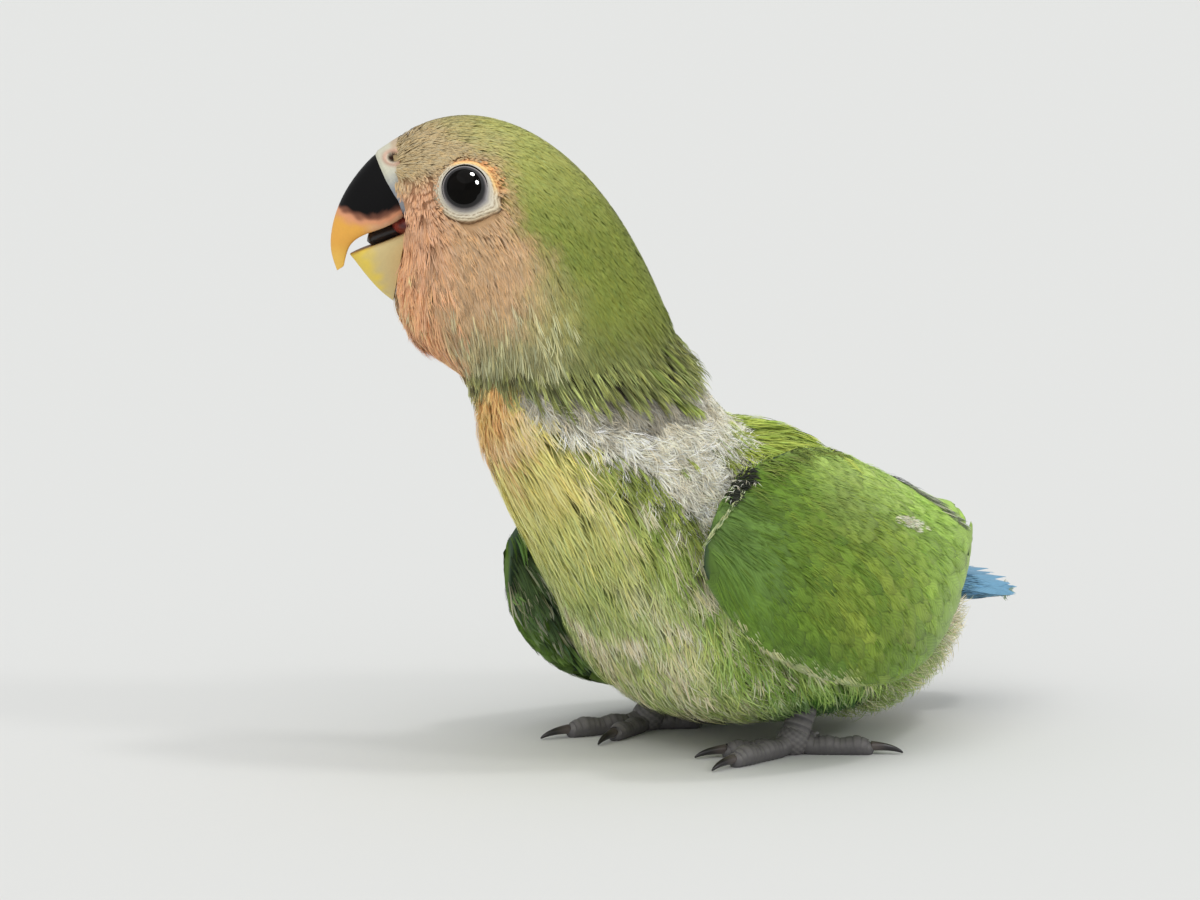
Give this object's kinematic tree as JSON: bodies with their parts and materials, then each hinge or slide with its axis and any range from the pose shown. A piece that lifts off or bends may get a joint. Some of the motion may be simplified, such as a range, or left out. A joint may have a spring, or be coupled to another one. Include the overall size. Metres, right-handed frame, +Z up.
{
  "type": "peach-faced lovebird fledgling, still model",
  "caption": "Life-size still model of a young small parrot with a short tail, standing low with its neck stretched, head turned to its right and bill ajar.",
  "frame": {"origin": "on the floor, under the middle of the bird's bounding box", "axes": "-Y the way the body faces, +X to the bird's left, +Z up"},
  "size_m": [0.0578, 0.1064, 0.0909],
  "materials": {
    "plumage_head": "short soft feathers, matt",
    "plumage_neck": "sparse grey down with short feathers, matt",
    "plumage_trunk": "loose downy feathers, matt",
    "plumage_wing": "smooth overlapping wing feathers, slight sheen",
    "plumage_tail": "growing tail feathers, slight sheen",
    "bill_horn": "smooth horn, satin",
    "cere_skin": "soft bare skin, matt",
    "tongue_skin": "moist, satin",
    "eye_dark": "wet, glossy",
    "foot_skin": "scaly, matt",
    "claw_horn": "smooth horn, satin"
  },
  "bodies": {
    "root": {"bill_lower": "bill_horn", "bill_upper": "bill_horn", "cere": "cere_skin", "claw_inner_front_left": "claw_horn", "claw_inner_front_right": "claw_horn", "claw_inner_rear_left": "claw_horn", "claw_inner_rear_right": "claw_horn", "claw_outer_front_left": "claw_horn", "claw_outer_front_right": "claw_horn", "claw_outer_rear_left": "claw_horn", "claw_outer_rear_right": "claw_horn", "eye_left": "eye_dark", "eye_right": "eye_dark", "head": "plumage_head", "leg_left": "foot_skin", "leg_right": "foot_skin", "neck": "plumage_neck", "tail": "plumage_tail", "tongue": "tongue_skin", "trunk": "plumage_trunk", "wing_left": "plumage_wing", "wing_right": "plumage_wing"}
  },
  "joints": []
}
